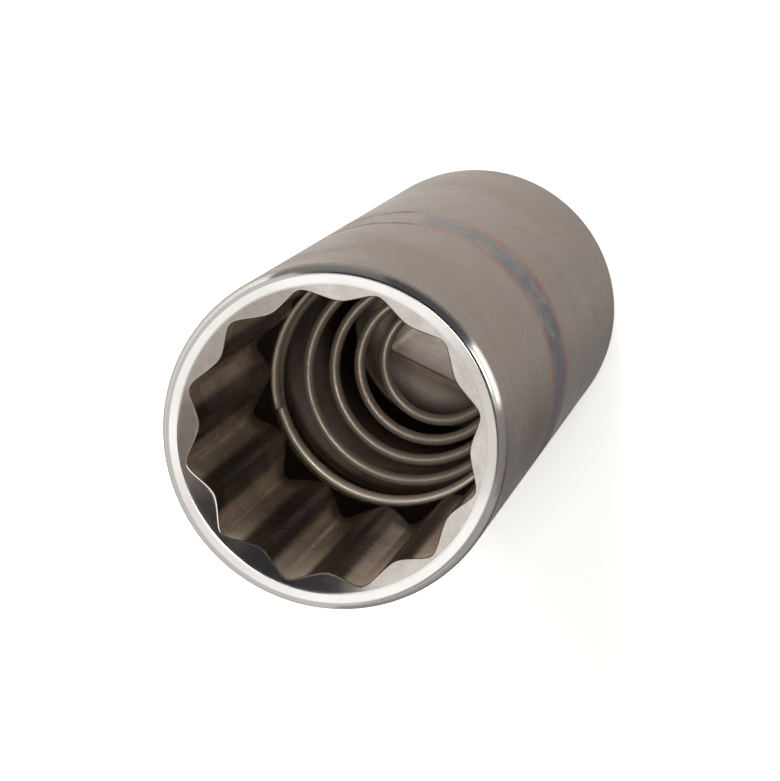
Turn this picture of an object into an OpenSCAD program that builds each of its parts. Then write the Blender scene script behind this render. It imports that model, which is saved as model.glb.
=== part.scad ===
// Deep spark plug socket with a bi-hex mouth, a square drive and a conical wire spring
// that holds the plug. It stands on its drive face at z = 0 and the mouth opens upwards.

/* [Body] */
// Length from the drive face to the mouth
body_l = 67.5; // [60:0.5:110]
// Width of the flat rim around the mouth
rim_w = 0.85; // [0.4:0.05:3]
// Width of the bevel on the outer edge at the mouth
edge_bevel = 0.6; // [0.3:0.05:1.5]
// Rounding of the outer edge at the drive face
foot_round = 1; // [0.3:0.05:2]

/* [Points] */
// Width across the flats
flats_w = 20.8; // [16:0.1:27]
// Depth of the points from the mouth
points_l = 24; // [14:0.5:30]
// Blunting of the ridge tips
crest_cut = 0.05; // [0.02:0.01:0.3]
// Blunting of the groove bottoms
root_cut = 0.1; // [0.02:0.01:0.3]
// Turn of the points around the axis, counted from the walls of the square
points_turn = -8; // [-15:1:15]
// Angle between the axis and the run-out at the blind end
runout_angle = 20; // [12:1:60]
// Step from the groove bottoms to the outer edge of the mouth bevel
bevel_step = 0.45; // [0.2:0.05:1]
// Angle between the axis and the mouth bevel
bevel_angle = 60; // [40:1:65]

/* [Square drive] */
// Width of the square hole
drive_w = 9.6; // [6.4:0.1:13]
// Length of the square hole
drive_l = 14; // [9:0.5:18]
// Reach of the lead-in past the corners of the square
lead_reach = 0.15; // [0.05:0.05:0.5]
// Angle between the axis and the lead-in
lead_angle = 60; // [40:1:70]
// Height of the detent dimples above the drive face
detent_z = 6; // [4:0.1:9]
// Ball radius of the detent dimples
detent_r = 2.2; // [1.5:0.1:3]
// Depth of the detent dimples
detent_depth = 0.7; // [0.3:0.05:1]
// Bevel between the bore and the shoulder above the square
shoulder_bevel = 1.2; // [0.5:0.1:3]

/* [Spring] */
// Wire diameter
wire_d = 1; // [0.6:0.05:1.4]
// Land between the end of the points and the spring groove
groove_land = 0.4; // [0.2:0.05:1.5]
// Depth of the groove below the wall of the bore
groove_depth = 0.45; // [0.2:0.05:0.6]
// Clearance between the front turn and its groove
spring_clear = 0.03; // [0.01:0.01:0.1]
// Gap between the closed turn and the turn behind it
coil_gap = 0.05; // [0.02:0.01:0.3]
// Number of turns, the closed one included
spring_turns = 5.4; // [3.2:0.1:6]
// Rise of each open turn
spring_pitch = 3.5; // [2:0.1:4]
// Extra rise while the first open turn leaves the groove
spring_lift = 1.5; // [0:0.1:2]
// Part of a turn over which the extra rise is spread
lift_turns = 0.8; // [0.4:0.05:1]
// Inside diameter of the narrow end
grip_d = 8.6; // [6:0.1:12]
// Sideways lean of the narrow end
spring_lean = 1.4; // [0:0.1:1.5]
// Direction of the lean around the axis
lean_angle = -20; // [-180:1:180]
// Place of the wire's front end around the axis
start_angle = -140; // [-180:1:180]

/* [Hidden] */
$fn = 96;
over = 1;
points_n = 12;
wire_sides = 10;
turn_steps = 36;

hex_r = flats_w / 2 / cos(30);
crest_r = flats_w / 2 / cos(15);
root_r = hex_r - root_cut;
core_r = crest_r + crest_cut;
bevel_r = root_r + bevel_step;
body_r = bevel_r + rim_w + edge_bevel;

points_z = body_l - points_l;
runout_h = (hex_r - core_r) / tan(runout_angle);
groove_z = points_z - groove_land;
groove_r = core_r + groove_depth;
bevel_slope = tan(bevel_angle);
bevel_h = (bevel_r - core_r) / bevel_slope + over;
lead_r = drive_w / sqrt(2) + lead_reach;
lead_h = (lead_r - drive_w / 2) / tan(lead_angle);

wire_r = wire_d / 2;
coil_r = groove_r - spring_clear - wire_r;
grip_r = grip_d / 2 + wire_r;
open_turns = spring_turns - 1;
taper = (coil_r - grip_r) / open_turns;
closed_rise = wire_d + coil_gap;
leave_turn = 1 + (coil_r + wire_r + spring_clear - core_r) / taper;
groove_w = coil_depth(leave_turn) + wire_r + spring_clear;
steps = ceil(spring_turns * turn_steps);

// Smooth share from 0 to 1
function ease(s) = let(c = min(max(s, 0), 1)) c * c * (3 - 2 * c);

// Depth of the wire's centre below the front wall of its groove after t turns
function coil_depth(t) =
    wire_r + spring_clear + closed_rise * min(t, 1)
    + spring_pitch * max(t - 1, 0)
    + spring_lift * ease((t - 1) / lift_turns);

// Radius of the wire's centre line after t turns
function coil_radius(t) = coil_r - taper * max(t - 1, 0);

// Sideways shift of the turn after t turns
function coil_lean(t) = spring_lean * max(t - 1, 0) / open_turns;

// Point on the wire's skin after t turns, at angle a around the wire
function wire_point(t, a) =
    let(turned = start_angle - 360 * t, r = coil_radius(t) + wire_r * cos(a))
    [r * cos(turned) + coil_lean(t) * cos(lean_angle),
     r * sin(turned) + coil_lean(t) * sin(lean_angle),
     groove_z - coil_depth(t) + wire_r * sin(a)];

// Corner between two straight edges, less its rounding
module edge_cut(r) {
    difference() {
        square(r + over);
        circle(r = r);
    }
}

// Half section of the solid body, bevelled at the mouth and rounded at the foot
module body_section() {
    difference() {
        square([body_r, body_l]);
        polygon([
            [body_r - edge_bevel - over, body_l + over],
            [body_r + over, body_l + over],
            [body_r + over, body_l - edge_bevel - over]]);
        translate([body_r - foot_round, foot_round])
            mirror([0, 1])
                edge_cut(foot_round);
    }
}

// Outline of the points: two hexagons with blunted corners
module points_outline() {
    intersection() {
        union() {
            rotate(points_turn + 180 / points_n)
                circle(r = hex_r, $fn = 6);
            rotate(points_turn + 180 / points_n + 360 / points_n)
                circle(r = hex_r, $fn = 6);
        }
        circle(r = root_r);
    }
}

// Room of the points, closed at its lower end by the run-out
module points_room() {
    intersection() {
        translate([0, 0, points_z])
            linear_extrude(height = points_l + over)
                points_outline();
        union() {
            translate([0, 0, points_z])
                cylinder(r1 = core_r, r2 = hex_r, h = runout_h);
            translate([0, 0, points_z + runout_h])
                cylinder(r = hex_r + over, h = points_l + over);
        }
    }
}

// Bevel of the mouth
module mouth_bevel() {
    translate([0, 0, body_l - bevel_h])
        cylinder(
            r1 = bevel_r - bevel_h * bevel_slope,
            r2 = bevel_r + over * bevel_slope,
            h = bevel_h + over);
}

// Smooth bore with the bevelled corner at the shoulder
module bore_room() {
    translate([0, 0, drive_l + shoulder_bevel])
        cylinder(r = core_r, h = body_l);
    translate([0, 0, drive_l])
        cylinder(r1 = core_r - shoulder_bevel, r2 = core_r, h = shoulder_bevel);
}

// Square hole with its lead-in and a dimple in two facing walls
module drive_room() {
    translate([-drive_w / 2, -drive_w / 2, -over])
        cube([drive_w, drive_w, drive_l + 2 * over]);
    cylinder(r1 = lead_r, r2 = drive_w / 2, h = lead_h);
    for (k = [0:1])
        rotate(180 * k)
            translate([drive_w / 2 + detent_depth - detent_r, 0, detent_z])
                sphere(r = detent_r);
}

module socket_body() {
    color([0.62, 0.6, 0.57])
        difference() {
            rotate_extrude()
                body_section();
            bore_room();
            points_room();
            mouth_bevel();
            translate([0, 0, groove_z - groove_w])
                cylinder(r = groove_r, h = groove_w);
            drive_room();
        }
}

module retaining_spring() {
    skin = [
        for (i = [0:steps], j = [0:wire_sides - 1])
            wire_point(spring_turns * i / steps, 360 * j / wire_sides)
    ];
    side_a = [
        for (i = [0:steps - 1], j = [0:wire_sides - 1])
            let(n = (j + 1) % wire_sides, a = i * wire_sides, b = a + wire_sides)
            [a + j, b + j, b + n]
    ];
    side_b = [
        for (i = [0:steps - 1], j = [0:wire_sides - 1])
            let(n = (j + 1) % wire_sides, a = i * wire_sides, b = a + wire_sides)
            [a + j, b + n, a + n]
    ];
    front_end = [[for (j = [0:wire_sides - 1]) j]];
    rear_end = [[for (j = [wire_sides - 1:-1:0]) steps * wire_sides + j]];
    color([0.45, 0.42, 0.38])
        polyhedron(points = skin, faces = concat(side_a, side_b, front_end, rear_end));
}

socket_body();
retaining_spring();
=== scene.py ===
"""Looks of a deep spark plug socket: smooth meshes, finishes, studio and camera.

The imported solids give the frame. Two pieces stand for them: the chromed body, with its
bi-hex mouth and square drive, and the conical wire spring in its bore. Sizes in the pieces
and their finishes are millimetres and degrees, and meshes are written in metres. The studio
is in metres and degrees.
"""

import logging
import math
from abc import ABC, abstractmethod
from dataclasses import dataclass, replace
from enum import Enum

import bmesh
import bpy
import numpy as np
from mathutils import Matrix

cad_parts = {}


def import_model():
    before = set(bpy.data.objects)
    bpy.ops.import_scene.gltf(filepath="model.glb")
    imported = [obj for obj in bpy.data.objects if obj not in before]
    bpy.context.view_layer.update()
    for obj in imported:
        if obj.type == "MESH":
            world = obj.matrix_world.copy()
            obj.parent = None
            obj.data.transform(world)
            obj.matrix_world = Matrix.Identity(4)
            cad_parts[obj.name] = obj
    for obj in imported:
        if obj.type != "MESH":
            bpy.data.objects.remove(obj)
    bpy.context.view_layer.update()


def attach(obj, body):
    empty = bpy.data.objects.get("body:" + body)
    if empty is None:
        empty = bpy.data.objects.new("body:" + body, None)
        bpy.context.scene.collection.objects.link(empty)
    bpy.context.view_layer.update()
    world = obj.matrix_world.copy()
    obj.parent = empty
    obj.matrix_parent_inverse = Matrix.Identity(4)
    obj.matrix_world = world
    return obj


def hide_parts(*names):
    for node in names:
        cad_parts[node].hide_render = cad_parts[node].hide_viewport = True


MM = 0.001
BODY = "root"
JOIN_DISTANCE = 1e-8
LOG = logging.getLogger("socket")

Pair = tuple[float, float]
Colour = tuple[float, float, float]
Place = tuple[float, float, float]
Socket = bpy.types.NodeSocket
Value = Socket | float | tuple[float, ...]
Row = tuple[np.ndarray, np.ndarray, "Zone"]

# Keeps x and y of a place and drops its height
LEVEL: Place = (1.0, 1.0, 0.0)

# Places of the Mix node's inputs and colour output, which share their names
MIX_NUMBERS = (0, 2, 3)
MIX_COLOURS = (0, 6, 7)
MIX_COLOUR_MADE = 2


class Zone(Enum):
    """Part of the body's skin with a finish of its own."""

    OUTSIDE = 0
    RIM = 1
    BEVEL = 2
    POINTS = 3
    BORE = 4
    SEAT = 5


class Marks(Enum):
    """Direction of the fine tool marks, as a stretch of the noise along x, y and z."""

    AROUND = (60.0, 60.0, 5200.0)
    ALONG = (3200.0, 3200.0, 45.0)
    CLOUDED = (900.0, 900.0, 900.0)


class NodeTree:
    """Small helper that places and links shader nodes in one tree."""

    def __init__(self, tree: bpy.types.NodeTree) -> None:
        """Keeps the tree that the nodes go into."""
        self.tree = tree

    def add(self, kind: str, **settings: object) -> bpy.types.Node:
        """Adds a node and sets its properties.

        Args:
            kind: Blender's type name of the node.
            settings: Properties of the node.

        Returns:
            The new node.
        """
        node = self.tree.nodes.new(kind)
        for name, value in settings.items():
            setattr(node, name, value)
        return node

    def link(self, source: Socket, target: Socket) -> None:
        """Joins an output to an input."""
        self.tree.links.new(source, target)

    def feed(self, target: Socket, value: Value) -> None:
        """Gives an input a socket, a colour or a number.

        Args:
            target: The input.
            value: Socket to link, or the plain value to set.
        """
        if isinstance(value, Socket):
            self.link(value, target)
        elif isinstance(value, tuple) and target.type == "RGBA":
            target.default_value = (*value, 1.0)
        else:
            target.default_value = value

    def feed_all(self, node: bpy.types.Node, values: dict[str, Value]) -> None:
        """Gives several inputs of a node their values, by name."""
        for name, value in values.items():
            self.feed(node.inputs[name], value)

    def math(self, operation: str, first: Value, second: Value = 0.0) -> Socket:
        """Adds a Math node.

        Args:
            operation: Name of the operation.
            first: Socket or number for the first input.
            second: Socket or number for the second input.

        Returns:
            The result's socket.
        """
        node = self.add("ShaderNodeMath", operation=operation)
        self.feed(node.inputs[0], first)
        self.feed(node.inputs[1], second)
        return node.outputs[0]

    def product(self, first: Value, *others: Value) -> Socket:
        """Multiplies numbers.

        Args:
            first: Socket or number.
            others: More of them.

        Returns:
            The product's socket.
        """
        for other in others:
            first = self.math("MULTIPLY", first, other)
        return first

    def vector(self, operation: str, first: Value, second: Value = (0.0, 0.0, 0.0)) -> bpy.types.Node:
        """Adds a Vector Math node.

        Args:
            operation: Name of the operation.
            first: Socket or vector for the first input.
            second: Socket or vector for the second input.

        Returns:
            The node, since some operations give a vector and some a number.
        """
        node = self.add("ShaderNodeVectorMath", operation=operation)
        self.feed(node.inputs[0], first)
        self.feed(node.inputs[1], second)
        return node

    def span(
        self, value: Socket, low: Value, high: Value, to_low: float = 0.0, to_high: float = 1.0
    ) -> Socket:
        """Maps a range of a value smoothly onto another range.

        Args:
            value: Socket to map.
            low: Start of the range that is read.
            high: End of the range that is read.
            to_low: Result at the start.
            to_high: Result at the end.

        Returns:
            The mapped socket.
        """
        node = self.add("ShaderNodeMapRange", interpolation_type="SMOOTHSTEP")
        self.feed_all(node, {"Value": value, "From Min": low, "From Max": high})
        self.feed_all(node, {"To Min": to_low, "To Max": to_high})
        return node.outputs["Result"]

    def noise(self, place: Socket, **values: Value) -> Socket:
        """Adds a Noise texture.

        Args:
            place: Socket with the place on the surface.
            values: Values of the texture's other inputs.

        Returns:
            The noise, from 0 to 1.
        """
        node = self.add("ShaderNodeTexNoise")
        self.feed_all(node, {"Vector": place, **values})
        return node.outputs["Fac"]

    def mix(self, share: Value, first: Value, second: Value) -> Socket:
        """Mixes two numbers.

        Args:
            share: Socket or number that says how much of the second counts.
            first: Socket or number.
            second: Socket or number.

        Returns:
            The mixed number's socket.
        """
        node = self.add("ShaderNodeMix", data_type="FLOAT")
        for spot, value in zip(MIX_NUMBERS, (share, first, second)):
            self.feed(node.inputs[spot], value)
        return node.outputs[0]

    def blend(self, share: Value, first: Value, second: Value, mode: str = "MIX") -> Socket:
        """Mixes two colours.

        Args:
            share: Socket or number that says how much of the second shows.
            first: Socket or colour underneath.
            second: Socket or colour on top.
            mode: Blend mode.

        Returns:
            The mixed colour's socket.
        """
        node = self.add("ShaderNodeMix", data_type="RGBA", blend_type=mode)
        for spot, value in zip(MIX_COLOURS, (share, first, second)):
            self.feed(node.inputs[spot], value)
        return node.outputs[MIX_COLOUR_MADE]

    def tinted(self, share: Value, colour: Socket, tint: Value) -> Socket:
        """Multiplies a colour by a tint, as far as the share says."""
        return self.blend(share, colour, self.blend(1.0, colour, tint, "MULTIPLY"))

    def parts(self, place: Socket) -> tuple[Socket, Socket, Socket]:
        """Splits a vector into its parts.

        Args:
            place: Socket with the vector.

        Returns:
            Its x, y and z.
        """
        node = self.add("ShaderNodeSeparateXYZ")
        self.link(place, node.inputs[0])
        return tuple(node.outputs)


class SharedEffects:
    """Shader node groups that several finishes use, each built once."""

    CLOUD_EDGE: Pair = (0.36, 0.68)
    SPECK_RARITY: float = 0.9
    SPECK_EDGE: Pair = (0.22, 0.05)

    def __init__(self) -> None:
        """Builds the groups."""
        self.marks = self.build_marks()
        self.clouds = self.build_clouds()
        self.specks = self.build_specks()
        self.side = self.build_side()

    @staticmethod
    def start(name: str, made: str, **given: Value) -> tuple[NodeTree, bpy.types.Node, bpy.types.Node]:
        """Opens a group with a Vector input, more inputs and one output, which is a number.

        Args:
            name: Name of the group.
            made: Name of the output.
            given: Start values of the other inputs, by name.

        Returns:
            The group's helper, its input node and its output node.
        """
        group = bpy.data.node_groups.new(name, "ShaderNodeTree")
        group.interface.new_socket("Vector", in_out="INPUT", socket_type="NodeSocketVector")
        for label, value in given.items():
            kind = "NodeSocketVector" if isinstance(value, tuple) else "NodeSocketFloat"
            group.interface.new_socket(label, in_out="INPUT", socket_type=kind).default_value = value
        group.interface.new_socket(made, in_out="OUTPUT", socket_type="NodeSocketFloat")
        tree = NodeTree(group)
        return tree, tree.add("NodeGroupInput"), tree.add("NodeGroupOutput")

    def build_marks(self) -> bpy.types.NodeTree:
        """Builds fine tool marks: noise stretched along one direction.

        Returns:
            The group.
        """
        tree, given, made = self.start("tool_marks", "Height", Stretch=(1.0, 1.0, 1.0))
        stretched = tree.vector("MULTIPLY", given.outputs["Vector"], given.outputs["Stretch"])
        noise = tree.noise(stretched.outputs[0], Scale=1.0, Detail=3.0, Roughness=0.62)
        tree.link(noise, made.inputs["Height"])
        return tree.tree

    def build_clouds(self) -> bpy.types.NodeTree:
        """Builds cloudy patches of dull film.

        Returns:
            The group.
        """
        tree, given, made = self.start("film_clouds", "Mask", Scale=100.0)
        scale = given.outputs["Scale"]
        noise = tree.noise(given.outputs["Vector"], Scale=scale, Detail=5.0, Roughness=0.58, Distortion=0.6)
        tree.link(tree.span(noise, *self.CLOUD_EDGE), made.inputs["Mask"])
        return tree.tree

    def build_specks(self) -> bpy.types.NodeTree:
        """Builds sparse small specks.

        Returns:
            The group.
        """
        tree, given, made = self.start("small_specks", "Mask", Scale=900.0)
        cells = tree.add("ShaderNodeTexVoronoi")
        tree.feed_all(cells, {"Vector": given.outputs["Vector"], "Scale": given.outputs["Scale"]})
        lot = tree.add("ShaderNodeSeparateColor")
        tree.link(cells.outputs["Color"], lot.inputs[0])
        chosen = tree.math("GREATER_THAN", lot.outputs[0], self.SPECK_RARITY)
        spot = tree.span(cells.outputs["Distance"], *self.SPECK_EDGE)
        tree.link(tree.product(chosen, spot), made.inputs["Mask"])
        return tree.tree

    def build_side(self) -> bpy.types.NodeTree:
        """Builds a mask of one side of a round piece, by the angle around its axis in degrees.

        Returns:
            The group.
        """
        tree, given, made = self.start("one_side", "Mask", Towards=(1.0, 0.0, 0.0), Near=20.0, Far=60.0)
        level = tree.vector("MULTIPLY", given.outputs["Vector"], LEVEL)
        level = tree.vector("NORMALIZE", level.outputs[0])
        facing = tree.vector("DOT_PRODUCT", level.outputs[0], given.outputs["Towards"])
        away = tree.math("DEGREES", tree.math("ARCCOSINE", facing.outputs["Value"]))
        mask = tree.span(away, given.outputs["Near"], given.outputs["Far"], 1.0, 0.0)
        tree.link(mask, made.inputs["Mask"])
        return tree.tree


def heading(angle: float) -> Place:
    """Level direction at an angle from +X, in degrees."""
    return math.cos(math.radians(angle)), math.sin(math.radians(angle)), 0.0


def new_material(name: str) -> tuple[bpy.types.Material, NodeTree, bpy.types.Node]:
    """Starts a material.

    Args:
        name: Name of the material.

    Returns:
        The material, the helper of its tree and its shader.
    """
    material = bpy.data.materials.new(name)
    material.use_nodes = True
    tree = NodeTree(material.node_tree)
    return material, tree, material.node_tree.nodes["Principled BSDF"]


class Skin(NodeTree):
    """Tree of a metal's material, with the place on the piece and the shared effects at hand."""

    def __init__(self, tree: bpy.types.NodeTree, effects: SharedEffects) -> None:
        """Keeps the tree and the effects, and reads the place.

        Args:
            tree: The material's tree.
            effects: The shared effects.
        """
        super().__init__(tree)
        self.effects = effects
        self.place: Socket = self.add("ShaderNodeTexCoord").outputs["Object"]

    def height(self) -> Socket:
        """Height above the drive face."""
        return self.parts(self.place)[2]

    def radius(self) -> Socket:
        """Distance from the axis."""
        level = self.vector("MULTIPLY", self.place, LEVEL)
        return self.vector("LENGTH", level.outputs[0]).outputs["Value"]

    def effect(self, group: bpy.types.NodeTree, **values: Value) -> Socket:
        """Places a shared effect.

        Args:
            group: The effect's node group.
            values: Values of the group's inputs, apart from the place.

        Returns:
            The group's output.
        """
        node = self.add("ShaderNodeGroup", node_tree=group)
        self.feed_all(node, {"Vector": self.place, **values})
        return node.outputs[0]

    def side(self, towards: float, near: float, far: float) -> Socket:
        """Mask of the side that faces one way, full at near and gone at far, in degrees."""
        return self.effect(self.effects.side, Towards=heading(towards), Near=near, Far=far)


@dataclass(frozen=True)
class Look:
    """What a metal's shader reads at one place of the surface."""

    colour: Socket
    rough: Socket
    metal: Value


class Layer(ABC):
    """Something that lies over a plain metal."""

    @abstractmethod
    def apply(self, skin: Skin, look: Look) -> Look:
        """Lays the layer over a look.

        Args:
            skin: Tree of the material.
            look: What is underneath.

        Returns:
            The look with the layer.
        """


@dataclass(frozen=True)
class SideShade(Layer):
    """Painted shade: darkens the side of a round piece that faces one way, full at near and gone at far."""

    towards: float = -15.0
    near: float = 25.0
    far: float = 59.0
    tint: Colour = (0.42, 0.395, 0.375)

    def apply(self, skin: Skin, look: Look) -> Look:
        """Darkens the colour on that side, as painted shade."""
        side = skin.side(self.towards, self.near, self.far)
        return replace(look, colour=skin.tinted(side, look.colour, self.tint))


@dataclass(frozen=True)
class PolishedEdge(Layer):
    """A bevelled edge rubbed bright, between two heights."""

    low: float = 66.5
    high: float = 67.12
    colour: Colour = (0.52, 0.5, 0.48)
    rough: float = 0.15

    def apply(self, skin: Skin, look: Look) -> Look:
        """Turns the edge into bare bright metal.

        Args:
            skin: Tree of the material.
            look: What is underneath.

        Returns:
            The look with the bright edge.
        """
        share = skin.span(skin.height(), self.low * MM, self.high * MM)
        return Look(
            skin.blend(share, look.colour, self.colour),
            skin.mix(share, look.rough, self.rough),
            skin.mix(share, look.metal, 1.0),
        )


@dataclass(frozen=True)
class PrintedBand(Layer):
    """A worn plain band printed around the body.

    Args:
        middle: Height of the band's middle.
        half_width: Half the band's width, lines included.
        line: Width of the two lines.
        soft: Blur of their edges.
        panel_from: Angle around the axis where the panel starts.
        panel_to: Angle where it ends.
        panel_soft: Angle over which the panel ends.
        line_soft: Angle over which the lines change past the panel.
        panel: Colour of the panel.
        border: Colour of the lines beside the panel.
        bare_line: Colour of the lines past it.
        wear_size: Number of worn patches in a metre.
        fade: How much of the ink the worn patches lose.
        line_left: How much of the lines is left past the panel.
        worn_from: Angle from which the panel is worn thinner.
        panel_left: How much of the panel is left at its end.
        ink_rough: Roughness that the ink adds.
        ink_metal: How bare the metal is under full ink.
    """

    middle: float = 38.6
    half_width: float = 4.1
    line: float = 0.8
    soft: float = 0.3
    panel_from: float = -66.0
    panel_to: float = 110.0
    panel_soft: float = 3.0
    line_soft: float = 6.0
    panel: Colour = (0.135, 0.138, 0.157)
    border: Colour = (0.265, 0.15, 0.132)
    bare_line: Colour = (0.115, 0.083, 0.071)
    wear_size: float = 420.0
    fade: float = 0.6
    line_left: float = 0.9
    worn_from: float = 45.0
    panel_left: float = 0.55
    ink_rough: float = 0.12
    ink_metal: float = 0.25

    def apply(self, skin: Skin, look: Look) -> Look:
        """Prints the panel and the two lines beside it.

        Args:
            skin: Tree of the material.
            look: What is underneath.

        Returns:
            The look with the band.
        """
        across, along, up = skin.parts(skin.place)
        height = skin.math("ABSOLUTE", skin.math("SUBTRACT", skin.math("DIVIDE", up, MM), self.middle))
        angle = skin.math("DEGREES", skin.math("ARCTAN2", along, across))
        inner = self.half_width - self.line
        half = (self.panel_to - self.panel_from) / 2
        away = skin.math("ABSOLUTE", skin.math("SUBTRACT", angle, self.panel_from + half))
        past = skin.span(away, half - self.line_soft, half + self.line_soft)
        worn = skin.effect(skin.effects.clouds, Scale=self.wear_size)
        keep = skin.span(worn, 0.0, 1.0, 1.0, 1.0 - self.fade)
        line = skin.product(
            skin.span(height, inner - self.soft, inner),
            skin.span(height, self.half_width, self.half_width + self.soft, 1.0, 0.0),
            keep,
            skin.span(past, 0.0, 1.0, 1.0, self.line_left),
        )
        panel = skin.product(
            skin.span(height, inner - self.soft, inner, 1.0, 0.0),
            skin.span(away, half - self.panel_soft, half, 1.0, 0.0),
            keep,
            skin.span(angle, self.worn_from, self.panel_to, 1.0, self.panel_left),
        )
        border = skin.blend(past, self.border, self.bare_line)
        ink = skin.math("MAXIMUM", line, panel)
        return Look(
            skin.blend(line, skin.blend(panel, look.colour, self.panel), border),
            skin.math("ADD", look.rough, skin.product(ink, self.ink_rough)),
            skin.mix(ink, look.metal, self.ink_metal),
        )


@dataclass(frozen=True)
class RidgeShade(Layer):
    """Painted shade on the ridges of the points and at their blind ends.

    Args:
        ridge: Distance from the axis up to which the shade is full.
        groove: Distance from which the groove is left as it is.
        blind: Height of the blind ends.
        clear: Height from which the groove is left as it is.
        end_share: How strong the shade is at the blind ends.
        tint: What the shade leaves of the metal's colour.
    """

    ridge: float = 11.1
    groove: float = 11.5
    blind: float = 46.8
    clear: float = 49.6
    end_share: float = 0.75
    tint: Colour = (0.12, 0.108, 0.1)

    def apply(self, skin: Skin, look: Look) -> Look:
        """Darkens the ridges and the blind ends and leaves the rest of the grooves.

        Args:
            skin: Tree of the material.
            look: What is underneath.

        Returns:
            The look with the grime.
        """
        ridges = skin.span(skin.radius(), self.ridge * MM, self.groove * MM, 1.0, 0.0)
        ends = skin.span(skin.height(), self.blind * MM, self.clear * MM, self.end_share, 0.0)
        share = skin.math("MAXIMUM", ridges, ends)
        return replace(look, colour=skin.tinted(share, look.colour, self.tint))


@dataclass(frozen=True)
class TurnHighlight(Layer):
    """A painted highlight on the front turn of wire, on the side that faces one way.

    Args:
        low: Height up to which the highlight is only weak.
        high: Height from which it is full.
        low_share: How strong the highlight is below.
        towards: Direction of the highlighted side.
        near: Angle from that direction up to which it is full.
        far: Angle where it is gone.
        colour: Colour of the painted highlight.
    """

    low: float = 40.4
    high: float = 41.2
    low_share: float = 0.3
    towards: float = -48.0
    near: float = 25.0
    far: float = 95.0
    colour: Colour = (0.98, 0.88, 0.75)

    def apply(self, skin: Skin, look: Look) -> Look:
        """Paints the highlight on the wire on that side.

        Args:
            skin: Tree of the material.
            look: What is underneath.

        Returns:
            The look with the painted highlight.
        """
        side = skin.side(self.towards, self.near, self.far)
        front = skin.span(skin.height(), self.low * MM, self.high * MM, self.low_share, 1.0)
        return replace(look, colour=skin.blend(skin.product(side, front), look.colour, self.colour))


@dataclass(frozen=True)
class ShoulderShade(Layer):
    """Painted shade on the shoulder, along the square and in the outer corner.

    Args:
        square: Distances from the middle where the shade along the square is full and gone.
        rise: Heights between which that shade sets in.
        corner: Distances from the axis where the shade in the corner starts and is full.
        tint: What the shade leaves of the metal's colour.
    """

    square: Pair = (5.0, 7.4)
    rise: Pair = (13.2, 13.9)
    corner: Pair = (6.6, 8.8)
    tint: Colour = (0.34, 0.3, 0.27)

    def apply(self, skin: Skin, look: Look) -> Look:
        """Darkens the shoulder next to the square and in the corner.

        Args:
            skin: Tree of the material.
            look: What is underneath.

        Returns:
            The look with the painted shade.
        """
        across, along, up = skin.parts(skin.place)
        out = skin.math("MAXIMUM", skin.math("ABSOLUTE", across), skin.math("ABSOLUTE", along))
        near = skin.span(out, self.square[0] * MM, self.square[1] * MM, 1.0, 0.0)
        edge = skin.product(near, skin.span(up, self.rise[0] * MM, self.rise[1] * MM))
        corner = skin.span(skin.radius(), self.corner[0] * MM, self.corner[1] * MM)
        colour = skin.tinted(edge, look.colour, self.tint)
        return replace(look, colour=skin.blend(corner, colour, tuple(part * part for part in self.tint)))


@dataclass(frozen=True)
class MetalFinish:
    """A bare or plated metal surface.

    Args:
        name: Name of the material.
        colour: Colour of clean metal.
        film: Colour where the surface is dull or oily.
        film_share: How much of the film shows, from 0 to 1.
        cloud_size: Number of cloudy patches in a metre.
        rough: Lowest and highest roughness.
        slant: Tint of the reflection at slanting sight.
        marks: Direction of the tool marks.
        mark_depth: Strength of the tool marks' bump.
        speck_share: How strongly small specks show, from 0 to 1.
        metal: How bare the metal is, from 0 to 1.
        layers: What lies over it, from below to the top.
        streak_from: Heights of the tool marks between which the streaks run.
        streak_to: Brightness of the darkest and the lightest streak.
        speck_dark: How bright a speck is beside the film.
        mark_share: How much of the roughness follows the marks.
        mark_height: Height of the marks.
    """

    name: str
    colour: Colour
    film: Colour
    film_share: float
    cloud_size: float
    rough: Pair
    slant: Colour
    marks: Marks
    mark_depth: float
    speck_share: float
    metal: float = 1.0
    layers: tuple[Layer, ...] = ()
    streak_from: Pair = (0.3, 0.7)
    streak_to: Pair = (0.9, 1.04)
    speck_dark: float = 0.3
    mark_share: float = 0.3
    mark_height: float = 0.05

    def material(self, effects: SharedEffects) -> bpy.types.Material:
        """Makes the material.

        Args:
            effects: The shared effects.

        Returns:
            The material.
        """
        material, tree, shader = new_material(self.name)
        skin = Skin(tree.tree, effects)
        clouds = skin.effect(effects.clouds, Scale=self.cloud_size)
        marks = skin.effect(effects.marks, Stretch=self.marks.value)
        specks = skin.effect(effects.specks)

        colour = skin.blend(skin.product(clouds, self.film_share), self.colour, self.film)
        streak = skin.add("ShaderNodeCombineColor")
        brightness = skin.span(marks, *self.streak_from, *self.streak_to)
        for channel in streak.inputs:
            skin.link(brightness, channel)
        colour = skin.blend(1.0, colour, streak.outputs[0], "MULTIPLY")
        dirt = tuple(self.speck_dark * part for part in self.film)
        colour = skin.blend(skin.product(specks, self.speck_share), colour, dirt)
        rough = skin.span(skin.mix(self.mark_share, clouds, marks), 0.0, 1.0, *self.rough)
        look = Look(colour, rough, self.metal)
        for layer in self.layers:
            look = layer.apply(skin, look)

        bump = skin.add("ShaderNodeBump")
        skin.feed_all(bump, {
            "Strength": self.mark_depth,
            "Distance": self.mark_height * MM,
            "Height": marks,
        })
        skin.feed_all(shader, {
            "Base Color": look.colour,
            "Roughness": look.rough,
            "Metallic": look.metal,
            "Specular Tint": self.slant,
            "Specular IOR Level": 0.0,
            "Normal": bump.outputs[0],
        })
        return material


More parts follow.
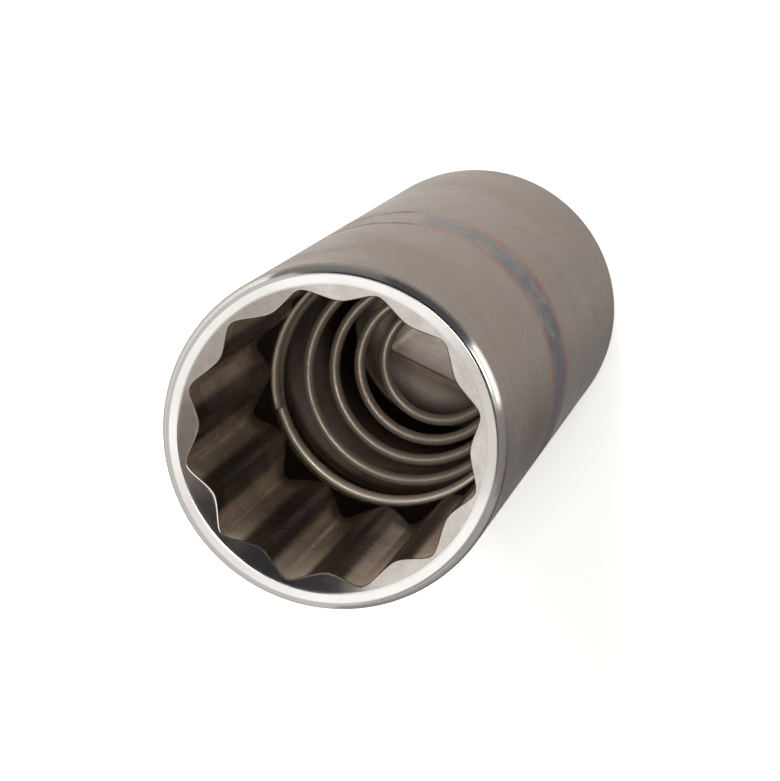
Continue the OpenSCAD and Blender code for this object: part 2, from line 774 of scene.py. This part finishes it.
CHROME = MetalFinish(
    name="satin_chrome",
    colour=(0.298, 0.258, 0.234),
    film=(0.248, 0.212, 0.19),
    film_share=0.5,
    cloud_size=55.0,
    rough=(0.24, 0.34),
    slant=(0.36, 0.35, 0.34),
    marks=Marks.AROUND,
    mark_depth=0.025,
    speck_share=0.2,
    metal=0.6,
    # The first layer paints shade on the side of the body that faces -15 degrees.
    layers=(SideShade(), PolishedEdge(), PrintedBand()),
)
RIM_CHROME = MetalFinish(
    name="polished_rim",
    colour=(0.86, 0.84, 0.815),
    film=(0.74, 0.71, 0.675),
    film_share=0.3,
    cloud_size=160.0,
    rough=(0.16, 0.24),
    slant=(1.0, 1.0, 1.0),
    marks=Marks.AROUND,
    mark_depth=0.02,
    speck_share=0.1,
    # Both layers paint shade: the rim's stretches facing 38 and -115 degrees are darkened, standing in for
    # dimmer reflections there.
    layers=(
        SideShade(towards=38.0, near=14.0, far=44.0, tint=(0.68, 0.65, 0.615)),
        SideShade(towards=-115.0, near=8.0, far=48.0, tint=(0.8, 0.78, 0.76)),
    ),
)
BEVEL_CHROME = MetalFinish(
    name="bevel_chrome",
    colour=(0.665, 0.612, 0.56),
    film=(0.52, 0.47, 0.42),
    film_share=0.4,
    cloud_size=240.0,
    rough=(0.18, 0.26),
    slant=(1.0, 1.0, 1.0),
    marks=Marks.CLOUDED,
    mark_depth=0.02,
    speck_share=0.15,
)
POINTS_STEEL = MetalFinish(
    name="points_steel",
    colour=(0.67, 0.535, 0.42),
    film=(0.47, 0.365, 0.275),
    film_share=0.5,
    cloud_size=130.0,
    rough=(0.2, 0.3),
    slant=(0.9, 0.88, 0.86),
    marks=Marks.ALONG,
    mark_depth=0.06,
    speck_share=0.1,
    metal=0.75,
    # The layer paints shade on the ridges and at the blind ends of the grooves.
    layers=(RidgeShade(),),
)
# Dark, dull steel of the bore; its darkness is partly painted shade deep in the bore.
BORE_STEEL = MetalFinish(
    name="bore_steel",
    colour=(0.18, 0.145, 0.117),
    film=(0.1, 0.08, 0.063),
    film_share=0.6,
    cloud_size=130.0,
    rough=(0.28, 0.4),
    slant=(0.7, 0.68, 0.66),
    marks=Marks.AROUND,
    mark_depth=0.06,
    speck_share=0.1,
)
# Lighter than the bore steel: painted light on the shoulder and square, standing in for light through the
# drive end.
SEAT_STEEL = MetalFinish(
    name="seat_steel",
    colour=(0.76, 0.66, 0.59),
    film=(0.58, 0.49, 0.43),
    film_share=0.5,
    cloud_size=160.0,
    rough=(0.4, 0.55),
    slant=(1.0, 1.0, 1.0),
    marks=Marks.CLOUDED,
    mark_depth=0.05,
    speck_share=0.1,
    metal=0.6,
    # The layer paints shade along the square and in the outer corner of the shoulder.
    layers=(ShoulderShade(),),
)
WIRE_STEEL = MetalFinish(
    name="spring_wire",
    colour=(0.5, 0.425, 0.355),
    film=(0.32, 0.265, 0.215),
    film_share=0.45,
    cloud_size=180.0,
    rough=(0.33, 0.46),
    slant=(0.9, 0.88, 0.86),
    marks=Marks.CLOUDED,
    mark_depth=0.03,
    speck_share=0.1,
    metal=0.7,
    # The layer paints a highlight on the lower side of the front turn.
    layers=(TurnHighlight(),),
)


def smooth_min(first: np.ndarray, second: float, width: float) -> np.ndarray:
    """Smaller of two values with a rounded change-over.

    Args:
        first: Values.
        second: The other value.
        width: Width of the change-over.

    Returns:
        The rounded smaller value.
    """
    share = np.clip(0.5 + 0.5 * (second - first) / width, 0.0, 1.0)
    return second + (first - second) * share - width * share * (1.0 - share)


def put_in_scene(name: str, data: bpy.types.ID) -> bpy.types.Object:
    """Makes an object of a mesh, lamp or camera.

    Args:
        name: Name of the object.
        data: The mesh, lamp or camera.

    Returns:
        The new object, linked to the scene.
    """
    made = bpy.data.objects.new(name, data)
    bpy.context.scene.collection.objects.link(made)
    return made


def grid_faces(index: np.ndarray) -> list[list[int]]:
    """Four-sided faces between the neighbours in a grid.

    Args:
        index: Point numbers by row and column.

    Returns:
        The point numbers of each face.
    """
    corners = (index[:-1, :-1], index[:-1, 1:], index[1:, 1:], index[1:, :-1])
    return np.stack(corners, axis=-1).reshape(-1, len(corners)).tolist()


def grid_piece(name: str, points: np.ndarray, close_rows: bool) -> bpy.types.Object:
    """Makes a smooth mesh from a grid of points whose columns close around.

    Args:
        name: Name of the piece.
        points: Points in millimetres, by row and column.
        close_rows: Whether the last row joins the first.

    Returns:
        The new object.
    """
    rows, columns = points.shape[:2]
    index = np.arange(rows * columns).reshape(rows, columns)
    index = np.pad(index, ((0, int(close_rows)), (0, 1)), mode="wrap")
    mesh = bpy.data.meshes.new(name)
    mesh.from_pydata((points.reshape(-1, 3) * MM).tolist(), [], grid_faces(index))
    joined = bmesh.new()
    joined.from_mesh(mesh)
    bmesh.ops.remove_doubles(joined, verts=joined.verts, dist=JOIN_DISTANCE)
    joined.to_mesh(mesh)
    joined.free()
    mesh.shade_smooth()
    mesh.update()
    return put_in_scene(name, mesh)


@dataclass
class SocketBody:
    """The chromed body, as one closed grid of rows around its section."""

    length: float = 67.5
    flats: float = 20.8
    points: int = 12
    crest_cut: float = 0.05
    root_cut: float = 0.1
    points_turn: float = -8.0
    points_length: float = 24.0
    points_edge: float = 0.8
    bevel_step: float = 0.45
    bevel_angle: float = 60.0
    rim: float = 0.85
    edge_bevel: float = 0.6
    edge_angle: float = 45.0
    edge_soft: float = 1.4
    edge_crisp: float = 0.4
    foot_round: float = 1.0
    runout_angle: float = 20.0
    groove_land: float = 0.4
    groove_depth: float = 0.45
    groove_width: float = 3.84
    drive: float = 9.6
    drive_length: float = 14.0
    drive_corner: float = 0.25
    drive_soft: float = 0.2
    lead_reach: float = 0.15
    lead_angle: float = 60.0
    dimple_height: float = 6.0
    dimple_ball: float = 2.2
    dimple_depth: float = 0.7
    shoulder_bevel: float = 1.2

    # Softening of the edges, and the gap between the mesh and the solid's outside
    mouth_edge: float = 0.09
    mouth_lip: float = 0.02
    points_lip: Pair = (0.02, 0.03)
    bore_edge: float = 0.06
    square_lip: Pair = (0.015, 0.02)
    inset: float = 0.008

    # Numbers of columns and of rows in each stretch, ends included
    columns: int = 720
    face_rows: int = 4
    foot_rows: int = 9
    wall_rows: int = 7
    soft_rows: int = 10
    crisp_rows: int = 6
    bevel_rows: int = 8
    points_rows: int = 8
    smooth_rows: int = 8
    seat_rows: int = 7
    square_rows: int = 5
    dimple_rows: int = 22
    lead_rows: int = 5
    runout_shares: tuple[float, ...] = (0.04, 0.25, 0.5, 0.75, 1.0)
    flat_weight: int = 90

    def __post_init__(self) -> None:
        """Works out the radii and heights that follow from the sizes."""
        self.core: float = self.flats / 2 / math.cos(math.pi / self.points) + self.crest_cut
        self.root: float = self.flats / 2 / math.cos(2 * math.pi / self.points) - self.root_cut
        self.bevel: float = self.root + self.bevel_step
        self.bevel_slope: float = math.tan(math.radians(self.bevel_angle))
        self.outside: float = self.bevel + self.rim + self.edge_bevel - self.inset
        self.points_floor: float = self.length - self.points_length
        self.groove: float = self.core + self.groove_depth
        self.groove_top: float = self.points_floor - self.groove_land
        self.lead: float = self.drive / math.sqrt(2) + self.lead_reach
        self.angles: np.ndarray = np.radians(np.arange(self.columns) * 360 / self.columns)

    def points_radius(self) -> np.ndarray:
        """Works out the bi-hex wall, with rounded ridges and grooves.

        Returns:
            Its radius at each column.
        """
        turned = self.angles - math.radians(self.points_turn)
        wave = np.arcsin(self.points_edge * np.cos(self.points * turned))
        share = 0.5 - 0.5 * wave / math.asin(self.points_edge)
        ridge = math.acos(self.flats / 2 / self.core)
        groove = math.acos(self.flats / 2 / self.root)
        return self.flats / 2 / np.cos(ridge + (groove - ridge) * share)

    def square_radius(self, height: float) -> np.ndarray:
        """Works out the square hole, with its eased corners and its dimples in two facing walls.

        Args:
            height: Height above the drive face.

        Returns:
            Its radius at each column.
        """
        fold = np.radians(np.mod(np.degrees(self.angles) + 45, 90) - 45)
        corner = self.drive / math.sqrt(2) - self.drive_corner
        wall = smooth_min(self.drive / 2 / np.cos(fold), corner, self.drive_soft)
        centre = self.drive / 2 + self.dimple_depth - self.dimple_ball
        room = self.dimple_ball**2 - (height - self.dimple_height) ** 2 - (centre * np.sin(fold)) ** 2
        ball = np.where(room > 0, centre * np.cos(fold) + np.sqrt(np.maximum(room, 0)), 0.0)
        facing = np.abs(np.cos(self.angles)) > math.sqrt(0.5)
        return np.where(facing, np.maximum(wall, ball), wall)

    def ring(self, radius: float | np.ndarray, height: float | np.ndarray, zone: Zone) -> Row:
        """Makes one row from radii and heights, which may be single numbers."""
        wide = np.ones(self.columns)
        return np.asarray(radius) * wide, np.asarray(height) * wide, zone

    def arc(self, centre: Pair, reach: float, turns: Pair, count: int) -> list[Row]:
        """Makes the rows of a rounded outer edge.

        Args:
            centre: Radius and height of the rounding's centre.
            reach: Radius of the rounding.
            turns: First and last angle above the level.
            count: Number of rows.

        Returns:
            The rows.
        """
        rows = []
        for turn in np.radians(np.linspace(*turns, count)):
            radius = centre[0] + reach * math.cos(turn)
            rows.append(self.ring(radius, centre[1] + reach * math.sin(turn), Zone.OUTSIDE))
        return rows

    def outer_rows(self) -> list[Row]:
        """Makes the rows of the drive face, the outside, its two edges and the rim.

        Returns:
            The rows, from the lead-in to the inner edge of the rim.
        """
        foot = self.outside - self.foot_round
        face = np.linspace(self.lead, foot, self.face_rows)
        rows = [self.ring(radius, 0.0, Zone.OUTSIDE) for radius in face]
        rows += self.arc((foot, self.foot_round), self.foot_round, (-90.0, 0.0), self.foot_rows)[1:]
        reach = math.tan(math.radians(self.edge_angle / 2))
        low = self.length - self.edge_bevel - self.edge_soft * reach
        inner = self.outside - self.edge_bevel - self.edge_crisp * reach
        for height in np.linspace(self.foot_round, low, self.wall_rows)[1:-1]:
            rows.append(self.ring(self.outside, height, Zone.OUTSIDE))
        soft = (self.outside - self.edge_soft, low)
        rows += self.arc(soft, self.edge_soft, (0.0, self.edge_angle), self.soft_rows)
        crisp = (inner, self.length - self.edge_crisp)
        rows += self.arc(crisp, self.edge_crisp, (self.edge_angle, 90.0), self.crisp_rows)
        rows[-1] = (*rows[-1][:2], Zone.RIM)
        edge = self.mouth_edge
        rows.append(self.ring(self.bevel + edge, self.length, Zone.RIM))
        rows.append(self.ring(self.bevel + self.mouth_lip, self.length - self.mouth_lip, Zone.RIM))
        rows.append(self.ring(self.bevel - edge, self.length - edge / self.bevel_slope, Zone.BEVEL))
        return rows

    def mouth_rows(self) -> list[Row]:
        """Makes the rows of the bevel, the points and their run-out.

        Returns:
            The rows, from the rim to the end of the run-out.
        """
        wall = self.points_radius()
        edge = self.mouth_edge
        start = self.bevel - edge
        rows = []
        for share in np.linspace(0, 1, self.bevel_rows)[1:]:
            radius = start + (wall + edge - start) * share
            height = self.length - (self.bevel - radius) / self.bevel_slope
            rows.append(self.ring(radius, height, Zone.BEVEL))
        top = self.length - (self.bevel - wall) / self.bevel_slope
        rows.append(self.ring(wall + self.points_lip[0], top - self.points_lip[1], Zone.BEVEL))
        floor = self.points_floor + (wall - self.core) / math.tan(math.radians(self.runout_angle))
        high = top - edge
        low = floor + edge
        for share in np.linspace(0, 1, self.points_rows):
            rows.append(self.ring(wall, high + (low - high) * share, Zone.POINTS))
        end = self.points_floor - self.bore_edge
        for share in self.runout_shares:
            radius = wall + (self.core - wall) * share
            rows.append(self.ring(radius, floor + (end - floor) * share, Zone.BORE))
        return rows

    def bore_rows(self) -> list[Row]:
        """Makes the rows of the spring groove, the smooth bore and its shoulder.

        Returns:
            The rows, from the land before the groove to the square.
        """
        edge = self.bore_edge
        top = self.groove_top
        bottom = top - self.groove_width
        corner = self.drive_length + self.shoulder_bevel
        places = [
            (self.core, top + edge),
            (self.core + edge, top),
            (self.groove - edge, top),
            (self.groove, top - edge),
            (self.groove, (top + bottom) / 2),
            (self.groove, bottom + edge),
            (self.groove - edge, bottom),
            (self.core + edge, bottom),
        ]
        smooth = np.linspace(bottom - edge, corner + edge, self.smooth_rows)
        places += [(self.core, height) for height in smooth]
        # The shoulder's bevel takes the dark bore finish: painted shade in the corner.
        places.append((self.core - edge, corner - edge))
        rows = [self.ring(radius, height, Zone.BORE) for radius, height in places]
        flat = self.core - self.shoulder_bevel
        rows.append(self.ring(flat + edge, self.drive_length + edge, Zone.SEAT))
        square = self.square_radius(self.drive_length)
        for share in np.linspace(0, 1, self.seat_rows):
            radius = flat - edge + (square + edge - flat + edge) * share
            rows.append(self.ring(radius, self.drive_length, Zone.SEAT))
        return rows

    def drive_rows(self) -> list[Row]:
        """Makes the rows of the square hole and its lead-in.

        Returns:
            The rows, from the shoulder to the drive face.
        """
        edge = self.bore_edge
        slope = math.tan(math.radians(self.lead_angle))
        plain = self.square_radius(self.drive_length)
        lip, drop = self.square_lip
        rows = [self.ring(plain + lip, self.drive_length - drop, Zone.SEAT)]
        high = self.dimple_height + self.dimple_ball
        low = self.dimple_height - self.dimple_ball
        upper = np.linspace(self.drive_length - edge, high, self.square_rows)
        dimple = np.linspace(high, low, self.dimple_rows)[1:]
        for height in (*upper, *dimple):
            rows.append(self.ring(self.square_radius(height), height, Zone.SEAT))
        lead_top = (self.lead - plain) / slope
        for share in (0.5, 1.0):
            rows.append(self.ring(plain, low + (lead_top + edge - low) * share, Zone.SEAT))
        for share in np.linspace(0, 1, self.lead_rows)[1:-1]:
            radius = plain + (self.lead - plain) * share
            rows.append(self.ring(radius, (self.lead - radius) / slope, Zone.OUTSIDE))
        return rows

    def build(self, effects: SharedEffects) -> bpy.types.Object:
        """Builds and dresses the body.

        Args:
            effects: The shared effects.

        Returns:
            The finished piece.
        """
        rows = self.outer_rows() + self.mouth_rows() + self.bore_rows() + self.drive_rows()
        points = np.stack([
            np.stack([radius * np.cos(self.angles), radius * np.sin(self.angles), height], axis=-1)
            for radius, height, _ in rows
        ])
        piece = grid_piece("chromed_body", points, True)
        for finish in (CHROME, RIM_CHROME, BEVEL_CHROME, POINTS_STEEL, BORE_STEEL, SEAT_STEEL):
            piece.data.materials.append(finish.material(effects))
        zones = np.repeat([zone.value for _, _, zone in rows], self.columns)
        piece.data.polygons.foreach_set("material_index", zones.astype(np.int32))
        flat = piece.modifiers.new("flat_faces", "WEIGHTED_NORMAL")
        flat.weight = self.flat_weight
        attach(piece, BODY)
        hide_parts("socket_body")
        return piece


@dataclass
class RetainingSpring:
    """The conical wire spring: a closed front turn in its groove, then open turns that narrow."""

    groove: float
    groove_top: float
    wire: float = 1.0
    clear: float = 0.03
    coil_gap: float = 0.05
    turns: float = 5.4
    pitch: float = 3.5
    lift: float = 1.5
    lift_turns: float = 0.8
    grip: float = 8.6
    lean: float = 1.4
    lean_angle: float = -20.0
    start_angle: float = -140.0
    steps: int = 520
    sides: int = 20

    # Distance from the wire's end, and share of its thickness there
    end_shape: tuple[Pair, ...] = ((0.0, 0.0), (0.0, 0.7), (0.04, 0.9), (0.15, 1.0))

    def __post_init__(self) -> None:
        """Works out the radii of the first and the last turn."""
        self.front: float = self.groove - self.clear - self.wire / 2
        self.narrow: float = self.grip / 2 + self.wire / 2

    def centre_line(self, turned: np.ndarray) -> tuple[np.ndarray, np.ndarray, np.ndarray]:
        """Wire's centre line.

        Args:
            turned: Turns from the front end.

        Returns:
            Radius, height and sideways lean after each of those turns.
        """
        opened = np.maximum(turned - 1, 0)
        share = np.clip(opened / self.lift_turns, 0, 1)
        rise = share * share * (3 - 2 * share)
        depth = self.wire / 2 + self.clear + (self.wire + self.coil_gap) * np.minimum(turned, 1)
        depth = depth + self.pitch * opened + self.lift * rise
        radius = self.front - (self.front - self.narrow) * opened / (self.turns - 1)
        return radius, self.groove_top - depth, self.lean * opened / (self.turns - 1)

    def build(self, effects: SharedEffects) -> bpy.types.Object:
        """Builds and dresses the spring.

        Args:
            effects: The shared effects.

        Returns:
            The finished piece.
        """
        front = [(back / (2 * math.pi * self.front), share) for back, share in self.end_shape]
        rear = [
            (self.turns - back / (2 * math.pi * self.narrow), share)
            for back, share in reversed(self.end_shape)
        ]
        middle = [(turn, 1.0) for turn in np.linspace(front[-1][0], rear[0][0], self.steps)[1:-1]]
        turned, share = np.array(front + middle + rear).T
        radius, height, lean = self.centre_line(turned)
        around = np.radians(self.start_angle - 360 * turned)[:, None]
        lean_x, lean_y, _ = heading(self.lean_angle)
        side = 2 * np.pi * np.arange(self.sides) / self.sides
        skin = self.wire / 2 * share[:, None]
        out = radius[:, None] + skin * np.cos(side)
        grid = np.stack([
            out * np.cos(around) + lean[:, None] * lean_x,
            out * np.sin(around) + lean[:, None] * lean_y,
            height[:, None] + skin * np.sin(side),
        ], axis=-1)
        piece = grid_piece("wire_spring", grid[:, ::-1], False)
        piece.data.materials.append(WIRE_STEEL.material(effects))
        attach(piece, BODY)
        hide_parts("retaining_spring")
        return piece


# Distances of the cards from the mouth, colours of the lamps and the point that they face
FAR = 0.9
NEAR = 0.085
SOFT_WHITE: Colour = (1.0, 0.985, 0.965)
WARM_WHITE: Colour = (1.0, 0.96, 0.9)
LAMP_AIM: Place = (0.0, 0.0, 0.06)


@dataclass(frozen=True)
class Card:
    """A card bent around the mouth that only the metal sees.

    Args:
        name: Name of the card.
        az: Directions of its two upright edges, in degrees from +X.
        lift: Angles of its lower and upper edge above the mouth, in degrees.
        colour: How bright it is.
        radius: Its distance from the mouth.
        columns: Number of points along it.
        rows: Number of points up it.
    """

    name: str
    az: Pair
    lift: Pair
    colour: Colour
    radius: float = FAR
    columns: int = 25
    rows: int = 13

    def glow(self) -> bpy.types.Material:
        """Makes the card's even glow.

        Returns:
            The material.
        """
        material, tree, shader = new_material(self.name)
        tree.feed_all(shader, {
            "Base Color": (0.0, 0.0, 0.0),
            "Specular IOR Level": 0.0,
            "Emission Color": self.colour,
            "Emission Strength": 1.0,
        })
        return material

    def build(self, mouth: float) -> None:
        """Bends the card around the mouth.

        Args:
            mouth: Height of the mouth.
        """
        up = np.radians(np.linspace(*self.lift, self.rows))[:, None]
        across = np.radians(np.linspace(*self.az, self.columns))
        level = self.radius * np.cos(up)
        height = mouth + self.radius * np.sin(up) * np.ones(self.columns)
        points = np.stack([level * np.cos(across), level * np.sin(across), height], axis=-1)
        index = np.arange(self.rows * self.columns).reshape(self.rows, self.columns)
        mesh = bpy.data.meshes.new(self.name)
        mesh.from_pydata(points.reshape(-1, 3).tolist(), [], grid_faces(index))
        mesh.shade_smooth()
        mesh.materials.append(self.glow())
        card = put_in_scene(self.name, mesh)
        card.visible_camera = False
        card.visible_diffuse = False
        card.visible_shadow = False


@dataclass(frozen=True)
class SoftBox:
    """A soft lamp that faces the socket's mouth.

    Args:
        name: Name of the lamp.
        place: Where it hangs.
        size: Its width.
        power: Its power in watts.
        colour: Its colour.
        mirrored: Whether it shows in the metal.
    """

    name: str
    place: Place
    size: float
    power: float
    colour: Colour = SOFT_WHITE
    mirrored: bool = True

    def build(self) -> None:
        """Hangs the lamp."""
        lamp = bpy.data.lights.new(self.name, "AREA")
        lamp.size = self.size
        lamp.energy = self.power
        lamp.color = self.colour
        holder = put_in_scene(self.name, lamp)
        holder.location = self.place
        holder.visible_glossy = self.mirrored
        aim = np.array(LAMP_AIM) - np.array(self.place)
        tilt = math.atan2(math.hypot(aim[0], aim[1]), -aim[2])
        holder.rotation_euler = (tilt, 0.0, math.atan2(aim[1], aim[0]) - math.pi / 2)


def shown_glow(tree: NodeTree, strength: float) -> Socket:
    """Strength that only camera, mirror and see-through rays get.

    Args:
        tree: Helper of the material's tree.
        strength: The strength.

    Returns:
        The strength's socket.
    """
    path = tree.add("ShaderNodeLightPath")
    seen = tree.math("MAXIMUM", path.outputs["Is Camera Ray"], path.outputs["Is Glossy Ray"])
    seen = tree.math("MAXIMUM", seen, path.outputs["Is Transmission Ray"])
    return tree.product(seen, strength)


@dataclass(frozen=True)
class FloorPaper:
    """Pale matt paper under the socket.

    Args:
        colour: Its colour.
        grain: Number of grains in a metre.
        rough: Lowest and highest roughness.
        gloss: How much it mirrors.
        glow: How much it is lifted towards white where it is seen.
    """

    colour: Colour = (0.86, 0.86, 0.86)
    grain: float = 400.0
    rough: Pair = (0.85, 0.95)
    gloss: float = 0.1
    glow: float = 0.4

    def material(self) -> bpy.types.Material:
        """Makes the material.

        Returns:
            The material.
        """
        material, tree, shader = new_material("floor_paper")
        grain = tree.noise(tree.add("ShaderNodeTexCoord").outputs["Object"], Scale=self.grain)
        tree.feed_all(shader, {
            "Base Color": self.colour,
            "Roughness": tree.span(grain, 0.0, 1.0, *self.rough),
            "Specular IOR Level": self.gloss,
            "Emission Color": (1.0, 1.0, 1.0),
            "Emission Strength": shown_glow(tree, self.glow),
        })
        return material


@dataclass
class Studio:
    """Floor, sky, reflecting cards, soft lamps and the camera."""

    floor_size: float = 6.0
    paper: FloorPaper = FloorPaper()
    sky: float = 0.28
    camera_place: Place = (0.024007, 0.060784, 0.275122)
    camera_turn: Place = (-10.8956, 11.6303, 25.0)
    lens: float = 129.065
    sensor: float = 36.0
    clip_start: float = 0.01
    mouth: float = 0.067
    cards: tuple[Card, ...] = (
        Card("dark_low", (58.0, 104.0), (2.0, 33.0), (0.11, 0.11, 0.125)),
        Card("mid_low", (104.0, 142.0), (2.0, 33.0), (0.26, 0.255, 0.255)),
        Card("dark_floor", (58.0, 104.0), (-50.0, 4.0), (0.12, 0.12, 0.13), NEAR),
        Card("mid_floor", (104.0, 150.0), (-50.0, 4.0), (0.34, 0.33, 0.32), NEAR),
        Card("bright_floor", (33.0, 58.0), (-50.0, 1.0), (2.8, 2.75, 2.68), NEAR),
        Card("grey_floor", (355.0, 390.0), (-50.0, 0.0), (0.38, 0.355, 0.335), NEAR),
        Card("pale_floor", (285.0, 355.0), (-50.0, 0.0), (0.62, 0.6, 0.575), NEAR),
        Card("grey_low", (358.0, 389.0), (-3.0, 33.0), (0.39, 0.37, 0.35)),
        Card("pale_low", (325.0, 358.0), (-3.0, 33.0), (0.58, 0.56, 0.54)),
        Card("dark_line", (340.0, 396.0), (64.0, 80.0), (0.06, 0.058, 0.056)),
        Card("dark_high", (36.0, 146.0), (33.0, 76.0), (0.03, 0.03, 0.036)),
        Card("grey_near", (350.0, 396.0), (33.0, 64.0), (0.25, 0.235, 0.22)),
        Card("grey_far", (290.0, 350.0), (14.0, 62.0), (0.6, 0.57, 0.545)),
    )
    lamps: tuple[SoftBox, ...] = (
        SoftBox("top_box", (-0.1, -0.27, 0.9), 0.5, 0.12),
        SoftBox("bore_lamp", (0.05, 0.13, 0.85), 0.14, 0.6, WARM_WHITE),
        SoftBox("bore_fill", (0.05, 0.13, 0.85), 0.2, 2.5, WARM_WHITE, mirrored=False),
        SoftBox("right_box", (0.4, 0.42, 0.26), 0.2, 0.24),
        SoftBox("side_box", (-0.807, 0.807, 0.438), 0.9, 23.0, mirrored=False),
    )

    def build_floor(self) -> None:
        """Lays the pale floor."""
        half = self.floor_size / 2
        corners = [(-half, -half, 0.0), (half, -half, 0.0), (half, half, 0.0), (-half, half, 0.0)]
        mesh = bpy.data.meshes.new("floor")
        mesh.from_pydata(corners, [], [(0, 1, 2, 3)])
        mesh.materials.append(self.paper.material())
        put_in_scene("floor", mesh)

    def build_sky(self) -> None:
        """Sets the world: white where it is seen, softer as light."""
        world = bpy.data.worlds.new("studio_sky")
        bpy.context.scene.world = world
        world.use_nodes = True
        tree = NodeTree(world.node_tree)
        shown = shown_glow(tree, 1.0 - self.sky)
        tree.feed_all(world.node_tree.nodes["Background"], {
            "Color": (1.0, 1.0, 1.0),
            "Strength": tree.math("ADD", shown, self.sky),
        })

    def build_camera(self) -> None:
        """Sets the camera at the photograph's viewing angle."""
        data = bpy.data.cameras.new("camera")
        data.sensor_width = self.sensor
        data.lens = self.lens
        data.clip_start = self.clip_start
        camera = put_in_scene("camera", data)
        camera.location = self.camera_place
        camera.rotation_euler = tuple(math.radians(turn) for turn in self.camera_turn)
        bpy.context.scene.camera = camera

    def build(self) -> None:
        """Builds the whole studio."""
        self.build_floor()
        self.build_sky()
        for card in self.cards:
            card.build(self.mouth)
        for lamp in self.lamps:
            lamp.build()
        self.build_camera()
        bpy.context.scene.view_settings.view_transform = "Standard"


def main() -> None:
    """Builds the pieces and the studio."""
    logging.basicConfig(level=logging.INFO, format="%(name)s: %(message)s")
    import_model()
    effects = SharedEffects()
    body = SocketBody()
    spring = RetainingSpring(body.groove, body.groove_top)
    for part in (body, spring):
        piece = part.build(effects)
        LOG.info("%s: %d faces", piece.name, len(piece.data.polygons))
    Studio().build()


if __name__ == "__main__":
    main()
